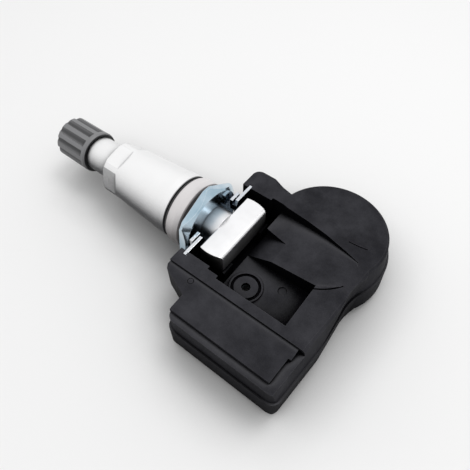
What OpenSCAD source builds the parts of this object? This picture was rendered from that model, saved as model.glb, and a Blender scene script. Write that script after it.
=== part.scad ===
// Tyre pressure sensor with a clamp-in metal valve.
// X runs along the valve, from the cap to the sensor, and Z points up through the pressure port.
// The origin is on the valve's axis, at the face of the rubber seal that meets the wheel rim.

/* [Valve cap] */
// Outer radius of the cap at its open end
cap_r = 5.15; // [4.9:0.05:5.6]
// How much slimmer the closed end is, as a radius
cap_taper = 0.05; // [0:0.05:0.3]
// How far the cap reaches down over the valve
cap_cover = 6.5; // [6.3:0.1:6.7]
// Length of the cap
cap_len = 9.9; // [9.6:0.1:12]
// Depth of the wide mouth that takes the collar nut's neck
cap_skirt = 4.0; // [3.8:0.1:4.2]
// Number of grip flutes
cap_flutes = 12; // [8:1:16]
// Depth of a grip flute
flute_depth = 0.6; // [0.3:0.02:0.64]
// Width of a grip flute as the radius of its cutter
flute_r = 0.86; // [0.6:0.02:1]
// Thickness of the rubber seal in the cap
cap_seal_t = 1.0; // [0.8:0.1:1.2]

/* [Valve stem] */
// Radius of the valve thread's crest
thread_r = 3.85; // [3.7:0.01:3.95]
// How far the valve's mouth stands ahead of the seal
stem_reach = 34.6; // [34.3:0.1:34.8]
// Radius of the plain land that carries seal, nut and foot
land_r = 4.2; // [4.1:0.05:4.4]
// How far the land starts ahead of the seal
land_start = 3.0; // [2.8:0.1:4]
// Radius of the air bore
air_r = 1.25; // [0.8:0.05:1.4]
// Length of the foot across the valve
foot_w = 16.4; // [15.6:0.1:16.6]
// Width of the foot along the valve
foot_t = 5.3; // [4.8:0.1:5.6]
// Distance from the seal to the foot's front
foot_x = 11.1; // [11:0.1:11.6]
// Height of the foot's flat top over the valve's axis
foot_top = 3.55; // [3.2:0.05:3.8]
// How far the foot's swivel axis lies under the valve's axis
swivel_drop = 1.0; // [0.8:0.1:1.2]

/* [Valve core] */
// Radius of the core's threaded plug
core_r = 2.55; // [2.4:0.05:2.7]
// Length of the threaded plug
plug_len = 4.6; // [4:0.1:5]
// Radius of the core's barrel
barrel_r = 1.8; // [1.7:0.05:1.9]
// Length of the barrel behind the plug
barrel_len = 5.5; // [5.3:0.1:6]
// Radius of the valve pin
pin_r = 0.65; // [0.5:0.05:0.7]
// How far the pin can be pressed in
pin_travel = 1.0; // [0.8:0.1:1.1]
// Radius of the spring wire
wire_r = 0.13; // [0.1:0.01:0.15]
// Turns of the valve spring
spring_turns = 5; // [4:1:6]

/* [Collar nut] */
// Width of the hexagon across its flats
collar_af = 12; // [11.6:0.1:12.2]
// Radius of the neck ahead of the hexagon
neck_r = 4.28; // [4.2:0.02:4.35]
// Length of valve thread that stands past the neck
neck_back = 6.0; // [5.8:0.1:6.4]
// Distance from the seal to the hexagon's front
hex_reach = 20.4; // [20:0.1:21]
// Length of the hexagon's flats
hex_len = 4.1; // [3.6:0.1:4.6]
// Radius of the bell beside the hexagon
bell_r = 6.6; // [6.5:0.05:6.7]
// Radius of the bell at its open end
skirt_r = 7.6; // [7.5:0.05:7.8]
// Radius inside the bell
bell_bore_r = 6.0; // [5.8:0.05:6.2]
// Depth of the hollow inside the bell
bell_depth = 8.0; // [7:0.1:10]
// Thickness of the slip ring held in the bell's end
slip_t = 1.0; // [0.8:0.1:1.4]

/* [Seal stack] */
// Radius of the rubber seal's flange
seal_r = 7.4; // [7.2:0.05:7.6]
// Thickness of the rubber flange that shows
seal_t = 0.8; // [0.6:0.05:1]
// Radius of the seal's sleeve, which fills the rim's hole
sleeve_r = 5.55; // [5.4:0.05:5.7]
// Length of the sleeve
sleeve_len = 2.6; // [2:0.1:3]
// Largest radius of the pale support ring
ring_r = 8.0; // [7.8:0.05:8.2]
// Thickness of the support ring
ring_t = 3.7; // [3.4:0.05:3.75]
// Radius of the washer under the lock nut
washer_r = 7.9; // [7.6:0.05:7.95]
// Thickness of the washer
washer_t = 1.0; // [0.8:0.05:1.05]
// Width of the lock nut across its flats
nut_af = 17; // [16.4:0.1:17.2]
// Radius to which the nut's corners are turned
nut_corner_r = 9.5; // [9.3:0.05:9.55]
// Thickness of the lock nut
nut_t = 2.0; // [1.85:0.05:2.05]
// Length of the cone turned on the nut's face towards the foot
nut_cone = 1.3; // [1:0.05:1.5]
// Radius of that face
nut_face_r = 8.1; // [7.8:0.05:8.3]

/* [Retaining plate] */
// Thickness of the sheet
plate_t = 0.7; // [0.6:0.05:0.8]
// Distance from the seal to the plate's front
plate_x = 9.35; // [9.3:0.05:9.4]
// Width of the plate
plate_w = 22.6; // [22.4:0.1:22.8]
// Width of the slot that straddles the stem
slot_w = 10.8; // [10.4:0.1:11.2]
// How far the plate reaches under the valve's axis
plate_drop = 7.2; // [7:0.1:7.3]

/* [Housing] */
// Height of the top deck over the valve's axis
deck_z = 3.8; // [3.8:0.05:4.2]
// Height of the near block's raised panel
panel_z = 3.2; // [3.0:0.05:3.4]
// Height of the ledge round the panel
ledge_z = 2.2; // [2:0.05:2.5]
// Depth of the parting line under the valve's axis
split_drop = 2.0; // [1.8:0.1:2.2]
// Room between the battery's lower tab and the tray's floor
cell_gap = 1.4; // [1.4:0.1:2]
// Distance from the seal to the battery's centre
dome_x = 29.7; // [29.4:0.1:30]
// Sideways place of the battery's centre
dome_y = 11.5; // [11.2:0.1:11.8]
// Radius of the dome's flat top
dome_top_r = 12.0; // [11.8:0.05:12.2]
// Radius of the dome at the parting line
dome_split_r = 13.0; // [12.8:0.05:13.2]
// How far the tray stands out past the upper shell
tray_lip = 0.4; // [0.2:0.05:0.6]
// Distance from the seal to the block's far end, at its near top corner
block_x = 38.9; // [38.6:0.1:39.2]
// How far the far end leans out down to the parting line
block_lean = 1.1; // [0.8:0.05:1.2]
// Angle of the far end to the valve's cross direction
far_turn = 4; // [3.5:0.1:4.5]
// Radius of the waist between the dome and the near block
waist_r = 12; // [11.5:0.1:12]
// Distance from the seal to the near block's front
block_front = 15.2; // [15:0.1:15.4]
// Sideways reach of the near block
block_side = 23.2; // [22.8:0.1:23.6]
// Radius of the block's upright corners
block_corner = 1.9; // [1:0.1:2.4]
// Wall thickness of the housing
wall = 1.5; // [1.2:0.05:1.6]
// Height of the bevel round the underside
base_bevel = 2.2; // [1.4:0.1:2.6]

/* [Foot pocket and ears] */
// Distance from the seal to the pocket's rear wall
pocket_x = 18.2; // [18:0.1:18.5]
// Half the pocket's width at the plate
pocket_half = 10.5; // [10.3:0.1:10.7]
// Half the pocket's width behind the foot
pocket_wide = 11.2; // [11:0.1:11.4]
// Depth of the pocket's floor under the valve's axis
pocket_drop = 5.6; // [5.4:0.1:5.7]
// Distance from the seal to the ears' front
ear_x = 8.0; // [7.9:0.1:8.2]
// Sideways reach of the far ear
ear_far = 16.1; // [15.7:0.1:16.4]
// Sideways reach of the near ear
ear_near = 15.6; // [15.3:0.1:16]
// Depth of the ears' underside under the valve's axis
ear_drop = 3.2; // [2.6:0.1:3.8]

/* [Channel and port] */
// Height of the channel's floor at the pocket
ramp_low = 0.85; // [0.6:0.05:1]
// Height of the channel's floor at its far end
ramp_high = 3.62; // [3.4:0.02:3.7]
// Sideways place of the wall between channel and recess
recess_y = -1.2; // [-1.5:0.1:-1]
// Sideways place of the recess's near wall
recess_near = -11.9; // [-12.1:0.1:-11.7]
// Distance from the seal to the recess's far wall
recess_end = 34.3; // [33.8:0.1:34.6]
// Depth of the recess's floor under the valve's axis
recess_drop = 1.4; // [1.2:0.05:1.5]
// Distance from the seal to the pressure port
port_x = 22.4; // [22.1:0.1:22.8]
// Sideways place of the pressure port
port_y = -7.7; // [-7.9:0.1:-7.4]
// Radius of the pressure port
port_r = 0.95; // [0.7:0.05:1.1]
// Radius of the raised disc round the port
disc_r = 3.5; // [3.2:0.05:3.6]

/* [Electronics] */
// Radius of the battery
cell_r = 10.0; // [9.8:0.05:10.1]
// Thickness of the battery
cell_t = 5.0; // [4.6:0.1:5.1]
// Depth of the battery's top under the valve's axis
cell_drop = 1.5; // [1.4:0.05:1.7]
// Thickness of the circuit board
board_t = 0.8; // [0.6:0.1:1]
// Depth of the board's upper face under the valve's axis
board_drop = 4.6; // [4.5:0.05:4.7]
// Thickness of a battery tab
tab_t = 0.2; // [0.15:0.05:0.3]
// Side length of the pressure sensor chip
chip_w = 7.0; // [6:0.1:7.4]
// Height of the pressure sensor chip
chip_t = 1.6; // [1.4:0.05:1.7]

/* [Hidden] */

fit = 0.05;          // running clearance on a radius
slack = 0.3;         // clearance between shapes that only pass each other
touch = 0.02;        // air between faces that turn on each other
eps = 0.01;          // overlap that joins two shapes of one piece
over = 1;            // how far a cutter passes its target
round_fn = 96;       // smoothness of round parts
corner_fn = 32;      // smoothness of small corners

stem_end = -stem_reach;
cap_mouth = stem_reach - cap_cover;
neck_reach = stem_reach - neck_back;
foot_mid = foot_x + foot_t / 2;
swivel_z = -swivel_drop;
split_z = -split_drop;
pocket_z = -pocket_drop;
recess_z = -recess_drop;
board_top = -board_drop;
board_under = board_top - board_t;
cell_top = -cell_drop;
cell_under = cell_top - cell_t;
tray_floor = cell_under - tab_t - cell_gap;
base_z = tray_floor - wall;
ring_end = seal_t + ring_t;
washer_x = ring_end + touch;
nut_x = washer_x + washer_t + touch;
dome_tray_r = dome_split_r + tray_lip;
shell_top_z = deck_z - wall;
tub_x = pocket_x + wall + slack;
board_x0 = block_front + wall + 3 * slack;
board_x1 = block_x - wall - slack;
board_y0 = slack + wall - block_side;

// Puts a shape drawn upright onto the valve's axis, with its foot at x
module on_axis(x) {
    translate([x, 0, 0]) rotate([90, 0, 90]) children();
}

// Ring or disc of given radii and length on the valve's axis
module ring_x(x, len, outer, inner = 0) {
    on_axis(x) difference() {
        cylinder(h = len, r = outer, $fn = round_fn);
        if (inner > 0) translate([0, 0, -over]) cylinder(h = len + 2 * over, r = inner, $fn = round_fn);
    }
}

// Block given by its lowest and highest corners
module block(low, high) {
    translate(low) cube(high - low);
}

// Prism along Y of an outline drawn in X and Z
module prism_y(y0, y1) {
    translate([0, y1, 0]) rotate([90, 0, 0]) linear_extrude(y1 - y0) children();
}

// Prism along X of an outline drawn in Y and Z
module prism_x(x0, x1) {
    translate([x0, 0, 0]) rotate([90, 0, 90]) linear_extrude(x1 - x0) children();
}

// Prism along Z of an outline drawn in X and Y
module prism_z(z0, z1) {
    translate([0, 0, z0]) linear_extrude(z1 - z0) children();
}

// Valve cap: a fluted plastic cap whose wide mouth swallows the collar nut's neck
cap_lip = 1.1;
cap_edge = 0.4;
module valve_cap() {
    closed_r = cap_r - cap_taper;
    seal_x = stem_end - touch - cap_seal_t;
    color("dimgray") difference() {
        on_axis(-cap_mouth - cap_len) rotate_extrude($fn = round_fn) polygon([
            [0, 0], [closed_r - cap_edge, 0], [closed_r, cap_edge],
            [cap_r, cap_len - cap_edge], [cap_r - cap_edge / 2, cap_len], [0, cap_len]]);
        on_axis(0) for (k = [0 : cap_flutes - 1]) rotate([0, 0, k * 360 / cap_flutes])
            translate([cap_r + flute_r - flute_depth, 0, -cap_mouth - cap_len - over])
                cylinder(h = cap_len + over - cap_lip, r = flute_r, $fn = corner_fn);
        ring_x(seal_x, -cap_mouth - seal_x + over, thread_r + fit);
        ring_x(-cap_mouth - cap_skirt, cap_skirt + over, neck_r + 2 * fit);
    }
}

// Rubber disc in the cap that seals on the valve's mouth
module cap_seal() {
    color("black") ring_x(stem_end - touch - cap_seal_t, cap_seal_t, thread_r, air_r);
}

// Valve stem: threaded tube, plain land and the cross bar that swivels in the housing
core_x = stem_end + 0.6;
barrel_end = core_x + plug_len + barrel_len;
stem_bevel = 0.45;
foot_peak = 1.8;
foot_edge = 0.8;
foot_edge_step = 15;
vent_r = 1.0;
module foot_outline() {
    intersection() {
        translate([foot_mid, 0]) square([foot_t, foot_w + over], center = true);
        translate([foot_x + foot_peak, 0]) circle(r = foot_w / 2, $fn = round_fn);
    }
}
module foot_section() {
    rear = foot_x + foot_t;
    translate([foot_mid, swivel_z]) circle(r = foot_t / 2, $fn = round_fn);
    polygon(concat([[foot_x, swivel_z], [foot_x, foot_top]],
        [for (a = [0 : foot_edge_step : 90])
            [rear - foot_edge * (1 - sin(a)), foot_top - foot_edge * (1 - cos(a))]],
        [[rear, swivel_z]]));
}
module valve_stem() {
    color("gainsboro") difference() {
        union() {
            on_axis(stem_end) rotate_extrude($fn = round_fn) polygon([
                [0, 0], [thread_r - stem_bevel, 0], [thread_r, stem_bevel],
                [thread_r, stem_reach - land_start], [land_r, stem_reach - land_start + stem_bevel],
                [land_r, stem_reach + foot_x + eps], [0, stem_reach + foot_x + eps]]);
            intersection() {
                prism_z(swivel_z - foot_t, foot_top) foot_outline();
                prism_y(-foot_w, foot_w) foot_section();
            }
        }
        ring_x(stem_end - over, plug_len + over + 0.6 + fit, core_r + fit);
        ring_x(stem_end, barrel_end - stem_end + pin_travel + over, barrel_r + fit);
        ring_x(stem_end, foot_mid - stem_end + vent_r + slack, air_r);
        translate([foot_mid, 0, swivel_z - foot_t]) cylinder(h = foot_t - swivel_z, r = vent_r, $fn = round_fn);
    }
}

// Valve core: brass plug with its barrel, grooved for the seal
pin_gap = 0.08;
pin_bore = pin_r + pin_gap;
spring_bore = 1.3;
barrel_rim = 1.5;
spring_seat = barrel_end - barrel_rim;
pin_collar_t = 0.4;
groove_x = core_x + plug_len + fit;
groove_w = 0.5;
groove_r = 1.45;
chamber_x = groove_x + groove_w + 0.2;
spring_len = spring_seat - chamber_x - fit - pin_collar_t;
module core_body() {
    slot_depth = 0.8;
    slot_gap = 1.1;
    color("darkgoldenrod") difference() {
        union() {
            ring_x(core_x, plug_len, core_r);
            ring_x(core_x + plug_len - eps, barrel_len + eps, barrel_r);
        }
        ring_x(core_x - over, barrel_end - core_x + 2 * over, pin_bore);
        ring_x(chamber_x, spring_seat - chamber_x, spring_bore);
        ring_x(groove_x, groove_w, core_r, groove_r);
        translate([core_x, 0, 0]) cube([2 * slot_depth, 3 * core_r, slot_gap], center = true);
    }
}

// Soft ring that seals the core's barrel in the stem
module core_seal() {
    color("white") ring_x(groove_x, groove_w, barrel_r + fit, groove_r);
}

// Valve pin with its spring collar and the poppet that closes the barrel
poppet_t = 0.6;
poppet_r = 1.5;
module core_pin() {
    color("khaki") union() {
        ring_x(stem_end + slack, barrel_end - stem_end - slack + poppet_t, pin_r);
        ring_x(chamber_x + fit, pin_collar_t, spring_bore - 2 * fit);
        ring_x(barrel_end + touch, poppet_t, poppet_r);
    }
}

// Valve spring, a swept helix between the pin's collar and the barrel's end
spring_mid_r = pin_bore + wire_r + fit;
spring_steps = 14;
spring_sides = 6;
spring_pitch = (spring_len - 2 * wire_r - 2 * touch) / spring_turns;
spring_rings = spring_turns * spring_steps;
function spring_point(i, j) =
    let (a = i * 360 / spring_steps, b = j * 360 / spring_sides, r = spring_mid_r + wire_r * cos(b))
    [spring_seat - spring_len + touch + wire_r + i * spring_pitch / spring_steps + wire_r * sin(b),
        r * cos(a), r * sin(a)];
module core_spring() {
    points = [for (i = [0 : spring_rings]) for (j = [0 : spring_sides - 1]) spring_point(i, j)];
    sides = [for (i = [0 : spring_rings - 1]) for (j = [0 : spring_sides - 1])
        let (k = (j + 1) % spring_sides)
        [i * spring_sides + j, i * spring_sides + k, (i + 1) * spring_sides + k, (i + 1) * spring_sides + j]];
    start = [for (j = [spring_sides - 1 : -1 : 0]) j];
    finish = [for (j = [0 : spring_sides - 1]) spring_rings * spring_sides + j];
    color("silver") polyhedron(points, concat([start], sides, [finish]), convexity = 4);
}

// Collar nut: neck, hexagon cut into the bell with sloping run-outs, and a hollow bell
neck_bevel = 0.5;
hex_bevel = 0.35;
nut_phase = 103;
flank_run = 1.2;
module collar_nut() {
    flat = collar_af / 2;
    hex_end = hex_len - hex_reach;
    depth = skirt_r - flat;
    color("lightgray") difference() {
        on_axis(0) rotate_extrude($fn = round_fn) polygon([
            [0, -neck_reach], [neck_r - neck_bevel / 2, -neck_reach], [neck_r, -neck_reach + neck_bevel],
            [neck_r, -hex_reach], [bell_r - hex_bevel, -hex_reach], [bell_r, -hex_reach + hex_bevel],
            [bell_r, hex_end + hex_bevel], [skirt_r, -slip_t - over], [skirt_r, -touch - 0.15],
            [skirt_r - 0.15, -touch], [0, -touch]]);
        for (k = [0 : 5]) rotate([nut_phase + 60 * k, 0, 0]) prism_z(-collar_af, collar_af)
            polygon([[-hex_reach - over, flat], [hex_end, flat],
                [hex_end + depth * flank_run, flat + depth], [hex_end + depth * flank_run, flat + 2 * depth],
                [-hex_reach - over, flat + 2 * depth]]);
        ring_x(-neck_reach - over, neck_reach + 2 * over, thread_r + fit);
        on_axis(-bell_depth - bell_bore_r + thread_r) cylinder(h = bell_bore_r - thread_r,
            r1 = thread_r, r2 = bell_bore_r, $fn = round_fn);
        ring_x(-bell_depth - eps, bell_depth + over, bell_bore_r);
        ring_x(-slip_t - fit - touch, slip_t + fit + over, skirt_r - 0.6);
    }
}

// Slip ring captive in the bell's end, which lets the nut turn without dragging the seal
module slip_ring() {
    color("whitesmoke") ring_x(-slip_t - touch, slip_t, skirt_r - 0.6 - fit, bell_bore_r - 0.2);
}

// Rubber grommet: flange under the bell and sleeve through the rim's hole
module grommet() {
    color([0.08, 0.08, 0.08]) union() {
        ring_x(-sleeve_len, sleeve_len + seal_t, sleeve_r, land_r);
        on_axis(0) difference() {
            rotate_extrude($fn = round_fn) polygon([[0, 0], [seal_r - 0.25, 0], [seal_r, 0.25],
                [seal_r, seal_t], [0, seal_t]]);
            translate([0, 0, -over]) cylinder(h = seal_t + 2 * over, r = land_r, $fn = round_fn);
        }
    }
}

// Pale support ring with a gently crowned rim
module support_ring() {
    color([0.86, 0.84, 0.83]) on_axis(seal_t) difference() {
        rotate_extrude($fn = round_fn) polygon([[0, 0], [ring_r - 0.35, 0], [ring_r - 0.1, 0.4],
            [ring_r, ring_t * 0.55], [ring_r - 0.1, ring_t - 0.4], [ring_r - 0.4, ring_t], [0, ring_t]]);
        translate([0, 0, -over]) cylinder(h = ring_t + 2 * over, r = land_r, $fn = round_fn);
    }
}

// Dark washer between the support ring and the lock nut
module lock_washer() {
    color([0.18, 0.18, 0.19]) ring_x(washer_x, washer_t, washer_r, land_r + fit);
}

// Lock nut: a thin hexagon, turned round at its corners, with a steep cone towards the foot
nut_turn = 84;
nut_edge = 0.2;
module lock_nut() {
    color([0.62, 0.69, 0.74]) on_axis(nut_x) difference() {
        intersection() {
            rotate([0, 0, nut_turn]) cylinder(h = nut_t, r = nut_af / 2 / cos(30), $fn = 6);
            rotate_extrude($fn = round_fn) polygon([[0, 0], [nut_corner_r - nut_edge, 0],
                [nut_corner_r, nut_edge], [nut_corner_r, nut_t - nut_cone], [nut_face_r, nut_t], [0, nut_t]]);
        }
        translate([0, 0, -over]) cylinder(h = nut_t + 2 * over, r = land_r + fit, $fn = round_fn);
    }
}

// Sheet metal plate that straddles the stem and slides into the ears
plate_top = deck_z - 0.15;
plate_corner = 1.2;
module plate_outline() {
    half = plate_w / 2;
    inner = slot_w / 2;
    difference() {
        polygon([[-half, -plate_drop + plate_corner], [-half + plate_corner, -plate_drop],
            [half - plate_corner, -plate_drop], [half, -plate_drop + plate_corner],
            [half, plate_top], [-half, plate_top]]);
        circle(r = inner, $fn = round_fn);
        translate([-inner, 0]) square([slot_w, plate_top - plate_corner]);
        hull() for (side = [-1, 1]) {
            translate([side * inner, plate_top - plate_corner]) circle(r = eps, $fn = 12);
            translate([side * (inner + plate_corner / 2), plate_top + eps]) circle(r = eps, $fn = 12);
        }
    }
}
lug_x = 8.25;
lug_y = 8.0;
lug_low = 0.6;
lug_top = 3.6;
fold_top = 2.4;
module plate_lug() {
    inner = slot_w / 2 + eps;
    block([lug_x, inner, lug_low], [lug_x + plate_t, lug_y, lug_top]);
    block([lug_x, inner, lug_low], [plate_x + eps, inner + plate_t, fold_top]);
}
module retaining_plate() {
    color("silver") union() {
        prism_x(plate_x, plate_x + plate_t) plate_outline();
        plate_lug();
        mirror([0, 1, 0]) plate_lug();
    }
}

// Plan outline of the near block and the deck: a bulged far end, then a waist that runs into the dome
bulge = [0.9, -9.5];
waist = [0.3, 0.9];
waist_turn = 21;
module block_outline(grow, out) {
    far = block_x + block_lean + grow;
    root = dome_split_r - slack + grow;
    difference() {
        offset(r = block_corner, $fn = corner_fn) offset(delta = -block_corner) polygon([
            [block_front - grow, -block_side - grow],
            [far + out, -block_side - grow],
            [far + bulge[0] + out, bulge[1]],
            [far + waist[0] + touch, 0],
            [dome_x + root * cos(waist_turn), dome_y - root * sin(waist_turn)],
            [dome_x, dome_y + block_corner],
            [block_front - grow, dome_y + block_corner]]);
        translate([block_x + block_lean + waist[0] + waist_r, waist[1]])
            circle(r = waist_r + fit - grow, $fn = round_fn);
    }
}

// Puts a side view of the far end, drawn from its near top corner, across the housing
module far_end() {
    translate([block_x, -block_side, 0]) rotate([0, 0, -far_turn])
        prism_y(-4 * over, block_side + dome_y + 4 * over) children();
}

// Outline of the front part that holds the foot pocket
module front_outline(grow) {
    half = pocket_wide + wall + grow;
    translate([plate_x + plate_t, -half]) square([pocket_x + 2 * wall - plate_x - plate_t, 2 * half]);
}

// Outline of the far ear, seen from above, with a well rounded front corner
ear_round = 1.8;
ear_root = 3;
module far_ear_outline() {
    inner = pocket_half - 2 * ear_round;
    offset(r = ear_round, $fn = corner_fn) offset(delta = -ear_round) polygon([
        [ear_x, inner], [ear_x, ear_far], [ear_x + 5, ear_far], [ear_x + 7.6, ear_far - 1.0],
        [dome_x - dome_top_r + 0.7, dome_y + ear_root], [dome_x - 4, dome_y], [dome_x - 4, inner]]);
}

// Outline of the near ear, seen from above
module near_ear_outline() {
    polygon([[ear_x + 0.3, -pocket_half + 1], [ear_x + 0.3, -ear_near + 0.9], [ear_x + 0.9, -ear_near],
        [block_front + 0.2, -ear_near - 2.6], [block_front + 2, -ear_near - 2.6],
        [block_front + 2, -pocket_half + 1]]);
}

// Solid form of the upper shell before it is hollowed
panel_side = 21.8;
strip_y = 13.9;
deck_break = 0.5;
module upper_form() {
    // Dome over the battery, with its top edge broken
    translate([dome_x, dome_y, 0]) rotate_extrude($fn = round_fn) polygon([[0, split_z],
        [dome_split_r, split_z], [dome_top_r + deck_break * 0.3, deck_z - deck_break],
        [dome_top_r - deck_break * 0.7, deck_z], [0, deck_z]]);
    // Deck and near block with a leaning far end
    intersection() {
        prism_z(split_z, deck_z) block_outline(0, slack / 2);
        far_end() polygon([[-block_x, split_z], [block_lean, split_z], [deck_break * 0.3, deck_z - deck_break],
            [-deck_break * 0.7, deck_z], [-block_x, deck_z]]);
        union() {
            block([ear_x, -strip_y, split_z - over], [block_x + 3, dome_y + 3, deck_z + over]);
            block([ear_x, -block_side - over, split_z - over], [block_x + 3, -strip_y + eps, ledge_z]);
        }
    }
    // Raised panel on the near block
    prism_z(ledge_z - eps, panel_z) polygon([[block_front, -strip_y], [block_x - 0.4, -strip_y],
        [block_x - 0.4, -strip_y - 2.4], [block_x - 1.0, -strip_y - 2.5], [block_x - 1.2, -panel_side],
        [block_front, -panel_side]]);
    // Ears and the body of the foot pocket
    prism_z(split_z, deck_z) far_ear_outline();
    prism_z(split_z, panel_z) near_ear_outline();
    prism_z(-ear_drop, split_z + eps) difference() {
        union() {
            far_ear_outline();
            near_ear_outline();
        }
        front_outline(slack);
        translate([block_front - tray_lip - slack, -block_x]) square(2 * block_x);
    }
    prism_z(split_z - eps, ledge_z) front_outline(0);
    prism_z(ledge_z - eps, deck_z) intersection() {
        union() {
            near_ear_outline();
            front_outline(0);
        }
        translate([0, -strip_y]) square([block_x, block_side + dome_y]);
    }
}

// Space that the channel, its steep middle ramp and the port recess take out of the deck
steep_end = 24;
steep_side = 5.6;
steep_rise = 0.8;
steep_lip = 0.1;
module steep_outline(drop) {
    polygon([[pocket_x - over, recess_z + steep_lip - drop], [pocket_x, recess_z + steep_lip - drop],
        [steep_end, ramp_low + steep_rise - drop], [steep_end + over, deck_z], [pocket_x - over, deck_z]]);
}
module channel_cut() {
    // Long shallow ramp beside the dome
    intersection() {
        prism_z(-over, deck_z + over) polygon([[pocket_x - eps, recess_y], [recess_end, recess_y - 0.5],
            [block_x - 0.3, 1.4], [block_x + 0.5, 5], [dome_x + 8.5, 7.8], [dome_x + 5.3, 8.7],
            [dome_x + 0.3, 9.8], [dome_x - 4.7, 10.5], [dome_x - 10, 10.9], [pocket_x - eps, pocket_wide]]);
        prism_y(recess_y - 2, dome_y) polygon([[pocket_x - over, ramp_low], [pocket_x, ramp_low],
            [block_x - 0.7, ramp_high], [block_x + 2 * over, ramp_high + over],
            [block_x + 2 * over, deck_z + 2 * over],
            [pocket_x - over, deck_z + 2 * over]]);
    }
    // Steep ramp behind the foot
    intersection() {
        prism_z(recess_z - over, deck_z) polygon([[pocket_x - eps, recess_y - over],
            [steep_end + over, recess_y - over], [steep_end + over, steep_side * 0.7],
            [pocket_x - eps, steep_side]]);
        prism_y(recess_y - over, steep_side + over) steep_outline(0);
    }
    // Port recess
    block([pocket_x - eps, recess_near, recess_z], [recess_end, recess_y, deck_z + over]);
}

// Foot pocket, the slots for the plate and the gap between the ears
module pocket_cut() {
    block([plate_x + plate_t - eps, -pocket_half, pocket_z], [ear_x + 7.7, pocket_half, deck_z + over]);
    block([ear_x + 7.6, -pocket_wide, pocket_z], [pocket_x, pocket_wide, deck_z + over]);
    block([ear_x - over, -pocket_half, base_z - over], [plate_x + plate_t, pocket_half, deck_z + over]);
    block([plate_x - fit, -plate_w / 2 - fit, base_z - over],
        [plate_x + plate_t + fit, plate_w / 2 + fit, deck_z + over]);
}

// Hollow of the upper shell over battery and board
port_wall = 1.1;
module upper_hollow() {
    difference() {
        union() {
            translate([dome_x, dome_y, split_z - over]) cylinder(h = shell_top_z - split_z + over,
                r = dome_top_r - wall, $fn = round_fn);
            block([pocket_x + wall, -block_side + wall, split_z - over],
                [block_x - wall, dome_y, ledge_z - wall]);
        }
        // Walls under the channel, the steep ramp and the port recess
        difference() {
            prism_y(recess_y - wall, pocket_wide + wall) polygon([[pocket_x, ramp_low - wall],
                [block_x, ramp_high - wall], [block_x, deck_z], [pocket_x, deck_z]]);
            block([block_x - wall, -wall, -over], [block_x, pocket_wide, deck_z]);
        }
        prism_y(recess_y - wall, steep_side + wall) steep_outline(wall);
        block([pocket_x, recess_near - wall, recess_z - port_wall],
            [recess_end + wall, recess_y + wall, deck_z]);
    }
}

// Saddles in the pocket that carry the foot's round underside
saddle_t = 3.0;
saddle_gap = 0.1;
module saddles() {
    for (side = [-1, 1]) difference() {
        translate([0, side * (foot_w / 2 - saddle_t / 2 - 0.3), 0])
            block([foot_x - 0.6, -saddle_t / 2, pocket_z - eps],
                [foot_x + foot_t + 0.6, saddle_t / 2, swivel_z - 0.2]);
        translate([foot_mid, 0, swivel_z]) rotate([90, 0, 0])
            cylinder(h = 3 * foot_w, r = foot_t / 2 + saddle_gap, center = true, $fn = round_fn);
    }
}

// Upper shell: dome, near block, ears, foot pocket, channel, recess and pressure port
tub_floor = pocket_z - 1.2;
module upper_shell() {
    color([0.11, 0.11, 0.12]) difference() {
        union() {
            difference() {
                union() {
                    upper_form();
                    block([plate_x + plate_t + fit, -pocket_wide - wall, tub_floor],
                        [pocket_x + wall, pocket_wide + wall, split_z + over]);
                }
                pocket_cut();
                channel_cut();
                upper_hollow();
            }
            saddles();
            // Raised disc round the pressure port
            translate([port_x, port_y, recess_z - eps]) cylinder(h = 0.3, r = disc_r, $fn = round_fn);
        }
        // Ring groove of the disc, the port and the moulding mark
        translate([port_x, port_y, recess_z - 0.3]) difference() {
            cylinder(h = over, r = disc_r - 0.35, $fn = round_fn);
            translate([0, 0, -over]) cylinder(h = 3 * over, r = disc_r - 1.0, $fn = round_fn);
        }
        translate([port_x, port_y, recess_z - 3]) cylinder(h = 5, r = port_r, $fn = round_fn);
        translate([port_x + 6.3, port_y + 3.8, recess_z - 0.2]) cylinder(h = over, r = 0.95, $fn = round_fn);
    }
}

// Form of the tray, grown or shrunk by an amount, from its foot to a height
module tray_form(grow, floor_z, rim_z) {
    bevel = base_bevel;
    translate([dome_x, dome_y, 0]) rotate_extrude($fn = round_fn) polygon([[0, floor_z],
        [dome_tray_r + grow - bevel * 0.7, floor_z], [dome_tray_r + grow + 0.3, floor_z + bevel],
        [dome_tray_r + grow, rim_z], [0, rim_z]]);
    far = block_lean + tray_lip + slack + grow;
    near = block_side + tray_lip + grow;
    front = plate_x + plate_t + fit - grow;
    block_start = block_front - tray_lip - grow;
    intersection() {
        prism_z(floor_z, rim_z) block_outline(tray_lip + grow, 0);
        prism_y(-near - over, dome_y + 4) polygon([[block_start, rim_z], [block_start, floor_z + bevel],
            [block_start + 1, floor_z], [block_x + bevel * 2, floor_z], [block_x + bevel * 2, rim_z]]);
        far_end() polygon([[-block_x, floor_z], [far - bevel, floor_z], [far, floor_z + bevel], [far, rim_z],
            [-block_x, rim_z]]);
        prism_x(block_start - over, block_x + bevel * 2) polygon([[-near, rim_z], [-near, floor_z + bevel],
            [-near + bevel * 0.8, floor_z], [dome_y + 4, floor_z], [dome_y + 4, rim_z]]);
    }
    intersection() {
        prism_z(floor_z, rim_z) front_outline(grow);
        prism_y(-near, near) polygon([[front, rim_z], [front, tub_floor], [front + 1.6, floor_z + 0.6],
            [front + 2.2, floor_z], [block_front + 8, floor_z], [block_front + 8, rim_z]]);
    }
}

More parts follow.
